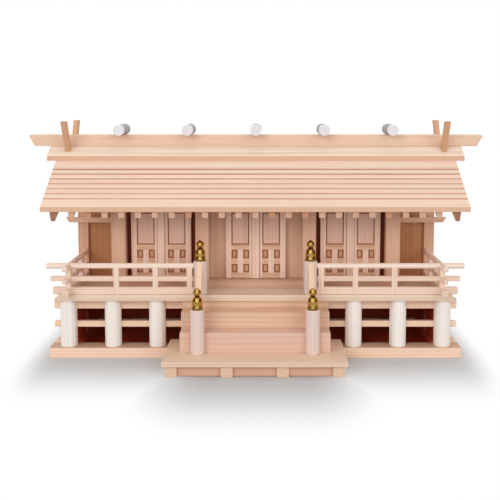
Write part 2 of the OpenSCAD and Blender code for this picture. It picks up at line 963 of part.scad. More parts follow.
module left_door_right_leaf() {
    right_leaf(door_x[0]);
}

module centre_door_left_leaf() {
    left_leaf(door_x[1]);
}

module centre_door_right_leaf() {
    right_leaf(door_x[1]);
}

module right_door_left_leaf() {
    left_leaf(door_x[2]);
}

module right_door_right_leaf() {
    right_leaf(door_x[2]);
}

// Rafters under the eaves; those beside the hall run on to the ridge
front_eave_y = ridge_y - roof_half_d;

module rafter(x, y) {
    along_x([
        [y[0], roof_under(y[0]) - rafter_h],
        [y[1], roof_under(y[1]) - rafter_h],
        [y[1], roof_under(y[1])],
        [y[0], roof_under(y[0])]
    ], [x - rafter_w / 2, x + rafter_w / 2]);
}

module rafters() {
    tip_y = front_eave_y + rafter_setback;
    color(cypress)
        for (i = [-rafter_side_count : rafter_side_count]) {
            x = i * rafter_pitch;
            beside = abs(x) - rafter_w / 2 > hall_x;
            rafter(x, [tip_y, beside ? ridge_y - cut : hall_y]);
            on_rear_slope()
                rafter(x, [tip_y, hall_y]);
        }
}

// Bargeboards under both verges, narrower at the foot
module bargeboards() {
    foot = front_eave_y + barge_setback;
    foot_z = roof_under(foot) - barge_h;
    wide = barge_t / 2;
    narrow = barge_foot_t / 2;
    color(cypress)
        both_sides()
            both_slopes()
                intersection() {
                    along_x([
                        [foot, foot_z],
                        [ridge_y, roof_under(ridge_y) - barge_h],
                        [ridge_y, roof_under(ridge_y)],
                        [foot, roof_under(foot)]
                    ], [barge_x - wide, barge_x + wide]);
                    along_y([
                        [barge_x - narrow, foot_z - cut],
                        [barge_x + narrow, foot_z - cut],
                        [barge_x + wide, foot_z + barge_taper_h],
                        [barge_x + wide, roof_under(ridge_y) + cut],
                        [barge_x - wide, roof_under(ridge_y) + cut],
                        [barge_x - wide, foot_z + barge_taper_h]
                    ], [foot - cut, ridge_y + cut]);
                }
}

// Roof slope with lapped courses of boards
function lap_y(i) = front_eave_y + (i < 0 ? 0 : course_low_w + i * course_w);

module roof_slope() {
    color(cypress)
        along_x(concat(
            [
                [ridge_y, roof_top(ridge_y)],
                [ridge_y, roof_under(ridge_y)],
                [front_eave_y, eave_z],
                [front_eave_y, eave_z + roof_t]
            ],
            [
                for (i = [0 : course_count - 1])
                    for (p = [
                        [lap_y(i), roof_top(lap_y(i)) - course_lap],
                        [lap_y(i), roof_top(lap_y(i))]
                    ]) p
            ]
        ), [-roof_w / 2, roof_w / 2]);
}

module roof_front() {
    roof_slope();
}

module roof_rear() {
    on_rear_slope()
        roof_slope();
}

// Two sloping boards that cover the top of the roof, level under the ridge board
module ridge_saddle() {
    seat = ridge_t / 2;
    color(cypress)
        along_x([
            [ridge_y, roof_top(ridge_y)],
            [saddle_y, roof_top(saddle_y)],
            [saddle_y, roof_top(saddle_y) + saddle_t],
            [ridge_y - seat, ridge_z],
            [ridge_y + seat, ridge_z],
            [2 * ridge_y - saddle_y, roof_top(saddle_y) + saddle_t],
            [2 * ridge_y - saddle_y, roof_top(saddle_y)]
        ], [-saddle_w / 2, saddle_w / 2]);
}

module ridge_board() {
    tip = ridge_w / 2;
    color(cypress)
        along_y([
            [-tip + ridge_end_cut, ridge_z],
            [tip - ridge_end_cut, ridge_z],
            [tip, ridge_top_z - ridge_tip_bevel],
            [tip - ridge_tip_bevel, ridge_top_z],
            [-tip + ridge_tip_bevel, ridge_top_z],
            [-tip, ridge_top_z - ridge_tip_bevel]
        ], [ridge_y - ridge_t / 2, ridge_y + ridge_t / 2]);
}

module ridge_logs() {
    color(pale_cypress)
        difference() {
            for (i = [-2 : 2])
                translate([i * log_pitch, ridge_y + log_len / 2, ridge_top_z + log_dia / 2 - log_seat])
                    rotate([90, 0, 0])
                        cylinder(h = log_len, d = log_dia);
            block([-ridge_w / 2, ridge_w / 2], [ridge_y - ridge_t / 2, ridge_y + ridge_t / 2],
                [ridge_top_z - ridge_h, ridge_top_z]);
        }
}

// Forked finials; each leg stands on a saddle board and leans away from the ridge
module finials() {
    foot_back = ridge_y - ridge_t / 2 - finial_foot;
    foot_front = foot_back - finial_t / cos(finial_lean);
    function saddle_top(y) = roof_top(y) + saddle_t;
    function leaned(y) = y - (finial_top_z - saddle_top(y)) * tan(finial_lean);
    color(cypress)
        both_sides()
            both_slopes()
                along_x([
                    [foot_front, saddle_top(foot_front)],
                    [foot_back, saddle_top(foot_back)],
                    [leaned(foot_back), finial_top_z],
                    [leaned(foot_front), finial_top_z]
                ], [finial_x - finial_w / 2, finial_x + finial_w / 2]);
}

base_front_beam();
base_rear_beam();
base_side_beams();
base_bottom_board();
columns();
tie_beams_front();
tie_beams_side();
skirt_side_boards();
skirt_rear_board();
veranda_board();
hall_floor();
railing_front_left();
railing_front_right();
railing_side_left();
railing_side_right();
newels();
newel_caps();
stair_handrails();
step_lower();
step_middle();
step_upper();
landing_board();
landing_feet();
landing_panels();
sill();
lintels();
front_pillars();
corner_posts();
jamb_boards();
wall_plates();
wing_panels();
wing_beams();
hall_side_walls();
wing_side_walls();
rear_wall();
left_door_left_leaf();
left_door_right_leaf();
centre_door_left_leaf();
centre_door_right_leaf();
right_door_left_leaf();
right_door_right_leaf();
rafters();
bargeboards();
roof_front();
roof_rear();
ridge_saddle();
ridge_board();
ridge_logs();
finials();
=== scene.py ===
from math import cos, radians, sin

import bpy
from mathutils import Matrix, Vector


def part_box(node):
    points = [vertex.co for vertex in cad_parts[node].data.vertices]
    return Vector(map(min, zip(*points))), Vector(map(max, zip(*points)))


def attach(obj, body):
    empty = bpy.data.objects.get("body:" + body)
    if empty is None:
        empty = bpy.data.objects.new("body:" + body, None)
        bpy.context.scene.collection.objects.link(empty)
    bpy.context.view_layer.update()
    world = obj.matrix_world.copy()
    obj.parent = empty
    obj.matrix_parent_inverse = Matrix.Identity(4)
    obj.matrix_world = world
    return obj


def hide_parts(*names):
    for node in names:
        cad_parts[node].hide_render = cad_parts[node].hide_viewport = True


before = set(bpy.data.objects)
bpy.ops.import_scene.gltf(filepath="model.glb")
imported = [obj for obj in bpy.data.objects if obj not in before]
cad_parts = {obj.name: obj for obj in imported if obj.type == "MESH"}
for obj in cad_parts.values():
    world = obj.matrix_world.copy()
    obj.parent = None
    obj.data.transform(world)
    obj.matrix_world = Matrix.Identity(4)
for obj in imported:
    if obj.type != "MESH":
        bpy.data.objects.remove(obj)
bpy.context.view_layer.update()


# Camera: it stands 0.9 m in front of the altar, a little above its ridge, and looks slightly down.
# The shift keeps the uprights almost parallel.
camera = bpy.data.objects.new("camera", bpy.data.cameras.new("camera"))
bpy.context.scene.collection.objects.link(camera)
camera.location = (0.0090, -0.8824, 0.2830)
camera.rotation_euler = (radians(90 - 5.0), 0, 0)
camera.data.sensor_width = 36
camera.data.lens = 54.71
camera.data.shift_x = -0.0270
camera.data.shift_y = -0.16
camera.data.clip_start = 0.05
camera.data.clip_end = 50
bpy.context.scene.camera = camera
bpy.context.scene.view_settings.view_transform = "Standard"


# Studio: a pale floor under a white room. Close round the base and the landing the floor shows grey, a painted shadow
# in the shape of their footprints, and away from them it shows white to the camera. Two wide soft lamps stand in front,
# the left one stronger.
# A third hangs behind the altar and throws its soft shadow forward. Two dark cards at the sides, which
# only polished metal shows, keep the brass from washing out.
def tint(red, green, blue):
    """A colour given as it shows on screen, from 0 to 255, for a socket that wants it linear."""
    shown = [c / 255 for c in (red, green, blue)]
    return [c / 12.92 if c <= 0.04045 else ((c + 0.055) / 1.055) ** 2.4 for c in shown] + [1.0]


class Shade:
    """A socket of a material. Sums on it add their own Math nodes."""

    def __init__(self, tree, socket=None):
        self.tree = tree
        self.socket = socket

    def add(self, kind, settings=None, values=None):
        """A node with its settings, and the values or links of its sockets; gives its first output."""
        made = self.tree.nodes.new("ShaderNode" + kind)
        for name, value in (settings or {}).items():
            setattr(made, name, value)
        for name, value in (values or {}).items():
            if isinstance(name, int):
                socket = made.inputs[name]
            else:
                socket = next(s for s in made.inputs if s.name == name and s.enabled)
            if isinstance(value, Shade):
                self.tree.links.new(value.socket, socket)
            else:
                socket.default_value = value
        return Shade(self.tree, next(s for s in made.outputs if s.enabled))

    def other(self, name):
        """Another output of the same node."""
        return Shade(self.tree, self.socket.node.outputs[name])

    def sum(self, operation, *values):
        return self.add("Math", {"operation": operation}, dict(enumerate(values)))

    def __add__(self, value):
        return self.sum("ADD", self, value)

    def __radd__(self, value):
        return self.sum("ADD", value, self)

    def __sub__(self, value):
        return self.sum("SUBTRACT", self, value)

    def __rsub__(self, value):
        return self.sum("SUBTRACT", value, self)

    def __mul__(self, value):
        return self.sum("MULTIPLY", self, value)

    def __rmul__(self, value):
        return self.sum("MULTIPLY", value, self)

    def __truediv__(self, value):
        return self.sum("DIVIDE", self, value)

    def __abs__(self):
        return self.sum("ABSOLUTE", self)

    def rise(self, low, high):
        """0 below low and 1 above high, with a smooth change between."""
        ends = {"Value": self, "From Min": low, "From Max": high}
        return self.add("MapRange", {"interpolation_type": "SMOOTHSTEP"}, ends)

    def blend(self, first, second):
        """The first colour where this is 0 and the second where it is 1."""
        return self.add("Mix", {"data_type": "RGBA"}, {"Factor": self, "A": first, "B": second})

    def noise(self, along, across, other, detail=2.0):
        """Noise over a point given as three values."""
        point = self.add("CombineXYZ", {}, {"X": along, "Y": across, "Z": other})
        return self.add("TexNoise", {}, {"Vector": point, "Scale": 1.0, "Detail": detail})


def nothing_selected():
    bpy.ops.object.select_all(action="DESELECT")


def only(piece):
    nothing_selected()
    piece.select_set(True)
    bpy.context.view_layer.objects.active = piece


nothing_selected()
bpy.ops.mesh.primitive_plane_add(size=12)
floor = bpy.context.object
floor.name = "floor"
floor_paint = bpy.data.materials.new("floor_paint")
floor_paint.use_nodes = True
floor.data.materials.append(floor_paint)
paint = Shade(floor_paint.node_tree)
spot = paint.add("SeparateXYZ", {}, {0: paint.add("TexCoord").other("Object")})
# Painted shadow: the distance from the footprints of the base and the landing sets where the grey floor turns white.
beside = paint.sum("MAXIMUM", abs(spot) - 0.22, 0.0) * 3.5
before = paint.sum("MAXIMUM", abs(spot.other("Y") - 0.0175) - 0.0625, 0.0)
from_base = beside * beside + before * before
beside = paint.sum("MAXIMUM", abs(spot) - 0.05, 0.0) * 1.6
before = paint.sum("MAXIMUM", abs(spot.other("Y") + 0.06) - 0.06, 0.0)
from_landing = beside * beside + before * before
outside = paint.sum("MINIMUM", from_base, from_landing)
outside = outside.sum("SQRT", outside)
camera_ray = paint.add("LightPath")
diffuse = paint.add("BsdfDiffuse", {}, {"Color": tint(202, 203, 203)})
white = paint.add("Emission", {}, {"Color": (1, 1, 1, 1), "Strength": 1.0})
# Painted shadow: to the camera the floor is grey near the footprints and white beyond them.
past_painted_shadow = outside.rise(0.006, 0.15) * camera_ray
shown = paint.add("MixShader", {}, {0: past_painted_shadow, 1: diffuse, 2: white})
floor_paint.node_tree.links.new(shown.socket, floor_paint.node_tree.nodes["Material Output"].inputs["Surface"])

world = bpy.data.worlds.new("room")
bpy.context.scene.world = world
world.use_nodes = True
room = Shade(world.node_tree)
ray = room.add("LightPath")
seen = ray.sum("MAXIMUM", ray, ray.other("Is Glossy Ray"))
seen = seen.sum("MAXIMUM", seen, ray.other("Is Transmission Ray"))
background = world.node_tree.nodes["Background"]
background.inputs["Color"].default_value = (1, 1, 1, 1)
strength = seen + (1 - seen) * 0.74
world.node_tree.links.new(strength.socket, background.inputs["Strength"])


def lamp(name, place, aim, size, power):
    """A square soft lamp that looks at a point."""
    data = bpy.data.lights.new(name, "AREA")
    data.shape = "SQUARE"
    data.size = size
    data.energy = power
    made = bpy.data.objects.new(name, data)
    bpy.context.scene.collection.objects.link(made)
    made.location = place
    made.rotation_euler = (Vector(aim) - Vector(place)).to_track_quat("-Z", "Y").to_euler()
    return made


lamp("left_lamp", (-1.6, -2.5, 1.5), (0, 0, 0.12), 1.6, 27)
lamp("right_lamp", (1.9, -2.4, 1.4), (0, 0, 0.12), 1.6, 18)
lamp("back_lamp", (0.1, 1.6, 2.2), (0, 0, 0.1), 2.4, 8)

card_paint = bpy.data.materials.new("card_paint")
card_paint.use_nodes = True
card_paint.node_tree.nodes["Principled BSDF"].inputs["Base Color"].default_value = tint(40, 32, 26)
for side in (-1, 1):
    nothing_selected()
    bpy.ops.mesh.primitive_plane_add(size=1, location=(side * 1.3, -0.9, 0.9), rotation=(0, radians(90), 0))
    card = bpy.context.object
    card.name = "dark_card"
    card.scale = (1.9, 2.6, 1)
    card.data.materials.append(card_paint)
    card.visible_camera = False
    card.visible_diffuse = False
    card.visible_shadow = False


# Base frame: four planed cypress beams, butted at the corners and standing straight on the floor.
# Their long faces show the straight grain, and the ends of the front beam show end grain.
ridge_y = 0.029
roof_fall = radians(34.1)


def cypress(name, along, early, late, pith=(0.07, -0.13), ring=0.0031, contrast=0.55, slope=False,
            turned=False, board=None, patch=0.0, laps=None, shade_tone=None, shade_faces=(), strip_shadow_line=None, seed=0.0):
    """Planed cypress with its grain along one axis; slope turns it down both sides of the ridge.

    Early and late are the tones of the pale wood and of the rings' dark edges. Board gives the axis
    and the pitch at which one board ends and the next, of another tone, begins. Laps gives how far
    from the ridge the lowest lap is, the pitch of the laps, and the number of the highest; a painted
    shadow line runs along each lap. Patch is how far single boards are of the late tone. The tone given
    for the named faces is painted shade on them. For the door stiles, a pitch and a distance give a dark
    line that far from the middle of each door: the painted shadow of the cover strip."""
    material = bpy.data.materials.new(name)
    material.use_nodes = True
    tree = material.node_tree
    wood = Shade(tree)
    coordinates = wood.add("TexCoord")
    spot = wood.add("SeparateXYZ", {}, {0: coordinates.other("Object")})
    x, y, z = spot, spot.other("Y"), spot.other("Z")
    face = wood.add("SeparateXYZ", {}, {0: coordinates.other("Normal")})
    face_x, face_y, face_z = face, face.other("Y"), face.other("Z")
    # Faces by the way they turn; painted shade is laid on the ones named.
    looks = {"up": face_z, "down": 0 - face_z, "front": 0 - face_y, "in": 0 - face_x * x.sum("SIGN", x),
             "shelf": face_z * (1 - abs(x).rise(0.2120, 0.2125)),
             "barrel": 1 - abs(face_y) * 0.9 - face_z.sum("MAXIMUM", face_z, 0.0) * 0.2,
             "out": face_y * (y - ridge_y).sum("SIGN", y - ridge_y)}
    if slope:
        side = (y - ridge_y).sum("SIGN", y - ridge_y)
        out = abs(y - ridge_y)
        face_out = face_y * side
        plumb = abs(face_y)
        y, z = out * cos(roof_fall) - z * sin(roof_fall), out * sin(roof_fall) + z * cos(roof_fall)
        face_y, face_z = (face_out * cos(roof_fall) - face_z * sin(roof_fall),
                          face_out * sin(roof_fall) + face_z * cos(roof_fall))
    places = {"X": (x, y, z), "Y": (y, x, z), "Z": (z, x, y)}
    faces = {"X": (face_x, face_y, face_z), "Y": (face_y, face_x, face_z), "Z": (face_z, face_x, face_y)}
    length, width, depth = places[along]
    end, flat, side_face = faces[along]

    tone = wood.noise(length * 1.7 + seed, width * 16, depth * 16, 1.0)
    if board:
        axis = {"X": x, "Y": y, "Z": z}[board[0]]
        count = (axis / board[1] + 0.5).sum("FLOOR", axis / board[1] + 0.5)
        own = wood.add("TexWhiteNoise", {"noise_dimensions": "1D"}, {"W": count + seed})
        tone = tone * 0.5 + own * 0.5
        width = width + own * 0.02
    wander = wood.noise(length * 2.6 + seed, width * 11, depth * 11) - 0.5
    far_b = width + pith[0]
    far_c = depth + pith[1]
    reach = (far_b * far_b + far_c * far_c)
    reach = reach.sum("SQRT", reach) + wander * 0.006
    turn = reach / ring
    whole = turn.sum("FLOOR", turn)
    part = turn - whole
    vigour = wood.add("TexWhiteNoise", {"noise_dimensions": "1D"}, {"W": whole})
    rings = part.rise(0.3, 0.86) * (1 - part.rise(0.9, 1.0)) * (0.3 + 0.7 * vigour)
    fibre = wood.noise(length * 34 + seed, width * 1500, depth * 1500)
    streak = wood.noise(length * 5 + seed, width * 260, depth * 260, 1.0)

    if turned:
        flattest = (flat * flat + side_face * side_face)
        flattest = flattest.sum("SQRT", flattest)
    else:
        flattest = flat.sum("MAXIMUM", abs(flat), abs(side_face))
    flattest = flattest.sum("MAXIMUM", flattest, abs(end))
    cut = abs(end)
    if slope:
        flattest = flattest.sum("MAXIMUM", flattest, plumb)
    if slope and along == "Y":
        cut = cut.sum("MAXIMUM", cut, plumb)
    worn = 1 - flattest.rise(0.9, 0.99)
    cut_end = cut.rise(0.9, 0.97)

    pink = [early[0] * 0.97, early[1] * 0.91, early[2] * 0.88, 1.0]
    dull = [early[0] * 0.80, early[1] * 0.72, early[2] * 0.66, 1.0]
    light = [min(early[0] * 1.03, 1), min(early[1] * 1.06, 1), min(early[2] * 1.09, 1), 1.0]
    colour = (rings * contrast).blend(early, late)
    colour = (tone.rise(0.3, 0.75) * 0.6).blend(colour, pink)
    colour = (streak.rise(0.52, 0.8) * 0.35).blend(colour, late)
    colour = (fibre.rise(0.5, 0.85) * 0.16).blend(colour, late)
    colour = (cut_end * (0.35 + rings * 0.4)).blend(colour, dull)
    if patch:
        colour = (own.rise(0.5, 0.62) * patch).blend(colour, late)
    colour = (worn * (0.35 + 0.4 * streak)).blend(colour, light)
    # Painted shade: the shade tone is laid on the named faces, which turn away from the light or into shaded hollows.
    for look in shade_faces:
        colour = (looks[look].rise(0.5, 0.9) * (0.9 + 0.1 * streak)).blend(colour, shade_tone)
    # Painted shadow: a thin dark line at each lap, stronger on the highest laps.
    if laps:
        step = (laps[0] - out) / laps[1]
        nearest = step.sum("FLOOR", step + 0.5)
        nearest = nearest.sum("MAXIMUM", nearest, 0.0)
        nearest = nearest.sum("MINIMUM", nearest, laps[2])
        line = 1 - (abs(step - nearest) * laps[1]).rise(0.0001, 0.0007)
        shadow = 0.12 + 0.34 * nearest.rise(3.5, 5.5)
        colour = (line * (shadow + 0.5 * streak)).blend(colour, tint(176, 104, 66))

    roughness = 0.6 + (fibre - 0.5) * 0.22 - rings * 0.08 + worn * 0.1 + cut_end * 0.12
    height = fibre * 0.55 + rings * 0.35 + streak * 0.3
    bump = wood.add("Bump", {}, {"Strength": 0.5, "Distance": 0.00012, "Height": height})
    # Painted shadow: a dark line on the stiles along each side of the cover strip, where its shadow falls.
    if strip_shadow_line:
        turn = x / strip_shadow_line[0] + 0.5
        aside = abs(turn - turn.sum("FLOOR", turn) - 0.5) * strip_shadow_line[0]
        line = 1 - abs(aside - strip_shadow_line[1]).rise(0.0002, 0.0005)
        colour = (line * (0.4 + 0.3 * streak)).blend(colour, tint(126, 76, 50))
    surface = tree.nodes["Principled BSDF"]
    tree.links.new(colour.socket, surface.inputs["Base Color"])
    tree.links.new(roughness.socket, surface.inputs["Roughness"])
    tree.links.new(bump.socket, surface.inputs["Normal"])
    surface.inputs["Specular IOR Level"].default_value = 0.32
    return material


def eased(node, arris=0.0004, smooth=False):
    """A CAD piece's own shape as a new mesh, with its arrises taken off as a plane does."""
    piece = bpy.data.objects.new(node + "_wood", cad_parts[node].data.copy())
    bpy.context.scene.collection.objects.link(piece)
    piece.data.materials.clear()
    only(piece)
    bpy.ops.object.mode_set(mode="EDIT")
    bpy.ops.mesh.select_all(action="SELECT")
    bpy.ops.mesh.customdata_custom_splitnormals_clear()
    bpy.ops.mesh.remove_doubles(threshold=0.00001)
    bpy.ops.mesh.dissolve_limited(angle_limit=radians(0.5))
    bpy.ops.object.mode_set(mode="OBJECT")
    bevel = piece.modifiers.new("arris", "BEVEL")
    bevel.width = arris
    bevel.segments = 2
    bevel.limit_method = "ANGLE"
    bevel.angle_limit = radians(30)
    bpy.ops.object.modifier_apply(modifier="arris")
    bpy.ops.object.shade_flat()
    if smooth:
        bpy.ops.object.shade_smooth_by_angle(angle=radians(35))
        piece.modifiers.new("even", "WEIGHTED_NORMAL").keep_sharp = True
        bpy.ops.object.modifier_apply(modifier="even")
    return piece


def fit(piece, material, nodes, body="altar"):
    """Finishes a piece: its wood or brass, the CAD nodes it stands for, and the body it belongs to."""
    if material:
        piece.data.materials.clear()
        piece.data.materials.append(material)
    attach(piece, body)
    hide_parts(*nodes)
    return piece


# Painted shade: the top faces of the front and rear beams are darker, for the light that falls less on them than on
# their fronts.
beam_x = cypress("base_beam_wood", "X", tint(252, 221, 195), tint(224, 164, 126), pith=(0.05, 0.09),
                 shade_tone=tint(200, 163, 133), shade_faces=["up"])
# Painted deep shade: a dark red tone for faces that look into the shaded space under the floor, here the inner faces
# and inner tops of the side beams.
painted_deep_shade = tint(188, 62, 30)
beam_y = cypress("base_side_beam_wood", "Y", tint(252, 221, 195), tint(224, 164, 126), pith=(0.04, 0.08),
                 shade_tone=painted_deep_shade, shade_faces=["in", "shelf"], seed=3.0)
for node in ("base_front_beam", "base_rear_beam"):
    fit(eased(node, 0.0006), beam_x, [node])
fit(eased("base_side_beams", 0.0006), beam_y, ["base_side_beams"])
# The bottom board's darker tone and the painted deep shade on its top stand for the dark under the floor.
bottom_wood = cypress("base_bottom_wood", "X", tint(206, 148, 110), tint(160, 100, 66), shade_tone=painted_deep_shade,
                      shade_faces=["up"], seed=4.0)
fit(eased("base_bottom_board", 0.0003), bottom_wood, ["base_bottom_board"])


# Columns: ten turned bars of white sapwood stand on the base and carry the floor.
# Each has a narrow chamfer at both ends, and the tie beams are let into their backs.
def turned(name, foot, outline, sides=48):
    """An upright turned piece: a disc drawn up ring by ring through radius and height."""
    nothing_selected()
    radius, level = outline[0]
    centre = Vector(foot) + Vector((0, 0, level))
    bpy.ops.mesh.primitive_circle_add(vertices=sides, radius=radius, fill_type="NGON", location=centre)
    piece = bpy.context.object
    piece.name = name
    bpy.ops.object.transform_apply(location=True, rotation=True, scale=True)
    bpy.ops.object.mode_set(mode="EDIT")
    bpy.ops.mesh.select_all(action="SELECT")
    for next_radius, next_level in outline[1:]:
        bpy.ops.mesh.extrude_region_move(TRANSFORM_OT_translate={"value": (0, 0, next_level - level)})
        centre = Vector(foot) + Vector((0, 0, next_level))
        grow = next_radius / radius
        bpy.ops.transform.resize(value=(grow, grow, 1), center_override=centre)
        radius, level = next_radius, next_level
    bpy.ops.mesh.select_all(action="SELECT")
    bpy.ops.mesh.normals_make_consistent(inside=False)
    bpy.ops.object.mode_set(mode="OBJECT")
    bpy.ops.object.shade_smooth_by_angle(angle=radians(32))
    return piece


def joined(name, parts):
    """Several parts glued into one piece."""
    nothing_selected()
    for part in parts:
        part.select_set(True)
    bpy.context.view_layer.objects.active = parts[0]
    bpy.ops.object.join()
    parts[0].name = name
    parts[0].data.name = name
    return parts[0]


def peg_outline(radius, bottom, top, chamfer):
    return [(radius - chamfer, bottom), (radius, bottom + chamfer), (radius, top - chamfer), (radius - chamfer, top)]


column_low, column_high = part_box("columns")
column_r = 0.0092
front_y = column_low.y + column_r
rear_y = column_high.y - column_r
outer_x = column_high.x - column_r
middle_y = (front_y + rear_y) / 2
column_outline = peg_outline(column_r, column_low.z, column_high.z, 0.0005)
white, shaded = tint(252, 247, 241), tint(233, 208, 190)
front_wood = cypress("column_wood", "Z", white, shaded, pith=(0.03, 0.05), turned=True)
# Painted deep shade on the inner halves of the side and rear columns.
side_wood = cypress("side_column_wood", "Z", white, shaded, pith=(0.03, 0.05), turned=True, shade_tone=painted_deep_shade,
                    shade_faces=["in"])
rows = (("front_columns", front_wood, ((0.110, front_y), (0.15975, front_y), (outer_x, front_y))),
        ("side_columns", side_wood, ((outer_x, middle_y), (outer_x, rear_y))))
for name, wood, places in rows:
    posts = [turned("column", (side * x, y, 0), column_outline) for side in (-1, 1) for x, y in places]
    fit(joined(name, posts), wood, ["columns"])


# Tie beams and skirt: rails join the columns at the top and at mid height, and thin boards close the space behind them.
# They lie in the shade of the floor, and their darker, redder tone is painted shade of that space, deepest on their
# inner faces.
# Painted shade: a darker, redder tone for the skirt boards, which stand in the dark under the floor.
shade_tone = tint(214, 150, 108)
shade_ring_tone = tint(172, 100, 62)
tie_wood = cypress("tie_beam_wood", "X", tint(249, 216, 187), tint(215, 164, 128), seed=5.0)
# Painted deep shade on the inner faces of the side ties and skirt boards and on the front of the rear board.
tie_side_wood = cypress("tie_side_wood", "Y", tint(249, 216, 187), tint(215, 164, 128), shade_tone=painted_deep_shade,
                        shade_faces=["in"], seed=6.0)
skirt_wood = cypress("skirt_wood", "Y", shade_tone, shade_ring_tone, shade_tone=painted_deep_shade, shade_faces=["in"], seed=7.0)
skirt_rear_wood = cypress("skirt_rear_wood", "X", shade_tone, shade_ring_tone, shade_tone=painted_deep_shade, shade_faces=["front"], seed=8.0)
fit(eased("tie_beams_front"), tie_wood, ["tie_beams_front"])
fit(eased("tie_beams_side"), tie_side_wood, ["tie_beams_side"])
fit(eased("skirt_side_boards"), skirt_wood, ["skirt_side_boards"])
fit(eased("skirt_rear_board"), skirt_rear_wood, ["skirt_rear_board"])


# Floor: one wide board for the veranda and one for the hall, planed round on the top edges.
# The round edge catches the light all along the front.
# Painted deep shade on the undersides of both boards.
floor_wood = cypress("floor_wood", "X", tint(236, 212, 189), tint(208, 163, 126), pith=(0.02, 0.12),
                     shade_tone=painted_deep_shade, shade_faces=["down"], seed=9.0)
hall_floor_wood = cypress("hall_floor_wood", "X", tint(226, 200, 177), tint(202, 152, 116), pith=(0.01, 0.10),
                          shade_tone=painted_deep_shade, shade_faces=["down"], seed=10.0)
fit(eased("veranda_board", 0.0002, smooth=True), floor_wood, ["veranda_board"])
fit(eased("hall_floor", 0.0002, smooth=True), hall_floor_wood, ["hall_floor"])


# Landing: a thin board on four feet in front of the base, closed by panels between the feet.
# The feet show end grain to the front.
landing_wood = cypress("landing_wood", "X", tint(235, 208, 182), tint(209, 158, 120), pith=(0.03, 0.14), seed=11.0)
foot_wood = cypress("landing_foot_wood", "Y", tint(244, 213, 188), tint(216, 161, 123), pith=(0.02, 0.03), seed=12.0)
panel_wood = cypress("landing_panel_wood", "X", tint(229, 184, 159), tint(198, 140, 110), seed=13.0)
fit(eased("landing_board", 0.0005), landing_wood, ["landing_board"])
fit(eased("landing_feet", 0.0005), foot_wood, ["landing_feet"])
fit(eased("landing_panels", 0.0003), panel_wood, ["landing_panels"])


# Steps: three boxed steps, one behind the other, with the grain running across. The lowest is of
# pinkish boards, and the two above it of boards with strong amber streaks.
low_step_wood = cypress("low_step_wood", "X", tint(230, 195, 176), tint(206, 152, 126), pith=(0.16, 0.03),
                        ring=0.0042, contrast=0.6, seed=14.0)
step_wood = cypress("step_wood", "X", tint(233, 198, 170), tint(206, 146, 106), pith=(0.13, 0.05),
                    ring=0.0047, contrast=0.7, seed=14.6)
fit(eased("step_lower", 0.0005), low_step_wood, ["step_lower"])
for node in ("step_middle", "step_upper"):
    fit(eased(node, 0.0005), step_wood, [node])


# Newels: four turned bars of white sapwood flank the stairs, two on the landing and two on the veranda.
# The foot and the top have a narrow chamfer, and a steep handrail is let in between each two.
newel_low, newel_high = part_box("newels")
newel_r = 0.0075
newel_x = newel_high.x - newel_r
lower_y = newel_low.y + newel_r
upper_y = newel_high.y - newel_r
landing_z, floor_z = 0.017, 0.0718
lower_top, upper_top = landing_z + 0.048, newel_high.z
bars = []
for side in (-1, 1):
    bars.append(turned("newel", (side * newel_x, lower_y, 0), peg_outline(newel_r, landing_z, lower_top, 0.0006)))
    bars.append(turned("newel", (side * newel_x, upper_y, 0), peg_outline(newel_r, floor_z, upper_top, 0.0006)))
newel_wood = cypress("newel_wood", "Z", tint(234, 214, 206), tint(211, 178, 162), pith=(0.02, 0.04), turned=True, seed=15.0)
fit(joined("turned_newels", bars), newel_wood, ["newels"])
handrail_wood = cypress("handrail_wood", "Z", tint(240, 204, 173), tint(212, 153, 113), seed=16.0)
fit(eased("stair_handrails", 0.0005), handrail_wood, ["stair_handrails"])


# Newel caps: spun brass in the shape of an onion on a bell, pushed over the end of each newel.
# The collar is rolled, and the polish is deeper and darker in the neck and under the collar.
cap_outline = [
    (0.0058, 0.0), (0.0060, 0.0003), (0.0060, 0.0011), (0.0057, 0.0014), (0.0060, 0.0017), (0.0060, 0.0023),
    (0.0058, 0.0026), (0.0057, 0.0028), (0.0057, 0.0070), (0.00565, 0.0090), (0.0054, 0.0104),
    (0.0049, 0.0116), (0.0042, 0.0126), (0.0034, 0.0133), (0.0027, 0.0137), (0.0024, 0.0140),
    (0.0027, 0.0143), (0.0027, 0.0145), (0.0023, 0.0148), (0.0024, 0.0151), (0.0030, 0.0155),
    (0.0038, 0.0163), (0.0043, 0.0173), (0.0045, 0.0184), (0.0044, 0.0194), (0.0039, 0.0203),
    (0.0031, 0.0211), (0.0022, 0.0218), (0.0014, 0.0225), (0.0007, 0.0231), (0.0002, 0.0235)
]
caps = []
for side in (-1, 1):
    caps.append(turned("cap", (side * newel_x, lower_y, lower_top), cap_outline, 56))
    caps.append(turned("cap", (side * newel_x, upper_y, upper_top), cap_outline, 56))
brass = bpy.data.materials.new("cap_brass")
brass.use_nodes = True
metal = Shade(brass.node_tree)
spot = metal.add("SeparateXYZ", {}, {0: metal.add("TexCoord").other("Object")})
upper = spot.other("Y").rise(-0.0700, -0.0699)
height = spot.other("Z") - (lower_top + (upper_top - lower_top) * upper)
neck = 1 - abs(height - 0.0146).rise(0.0002, 0.0022)
groove = 1 - abs(height - 0.0014).rise(0.0001, 0.0006)
foot = 1 - height.rise(0.0026, 0.0042)
dark = (neck * 0.75).sum("MAXIMUM", neck * 0.75, groove * 0.8)
dark = dark.sum("MAXIMUM", dark, foot * 0.25)
cloud = metal.noise(spot * 420, spot.other("Y") * 420, spot.other("Z") * 420, 3.0)
turning = metal.noise(height * 9000, 0.0, 0.0, 1.0)
colour = (dark + (cloud - 0.5) * 0.3).rise(0.0, 1.0).blend(tint(210, 166, 88), tint(96, 58, 22))
roughness = 0.14 + dark * 0.2 + cloud * 0.1
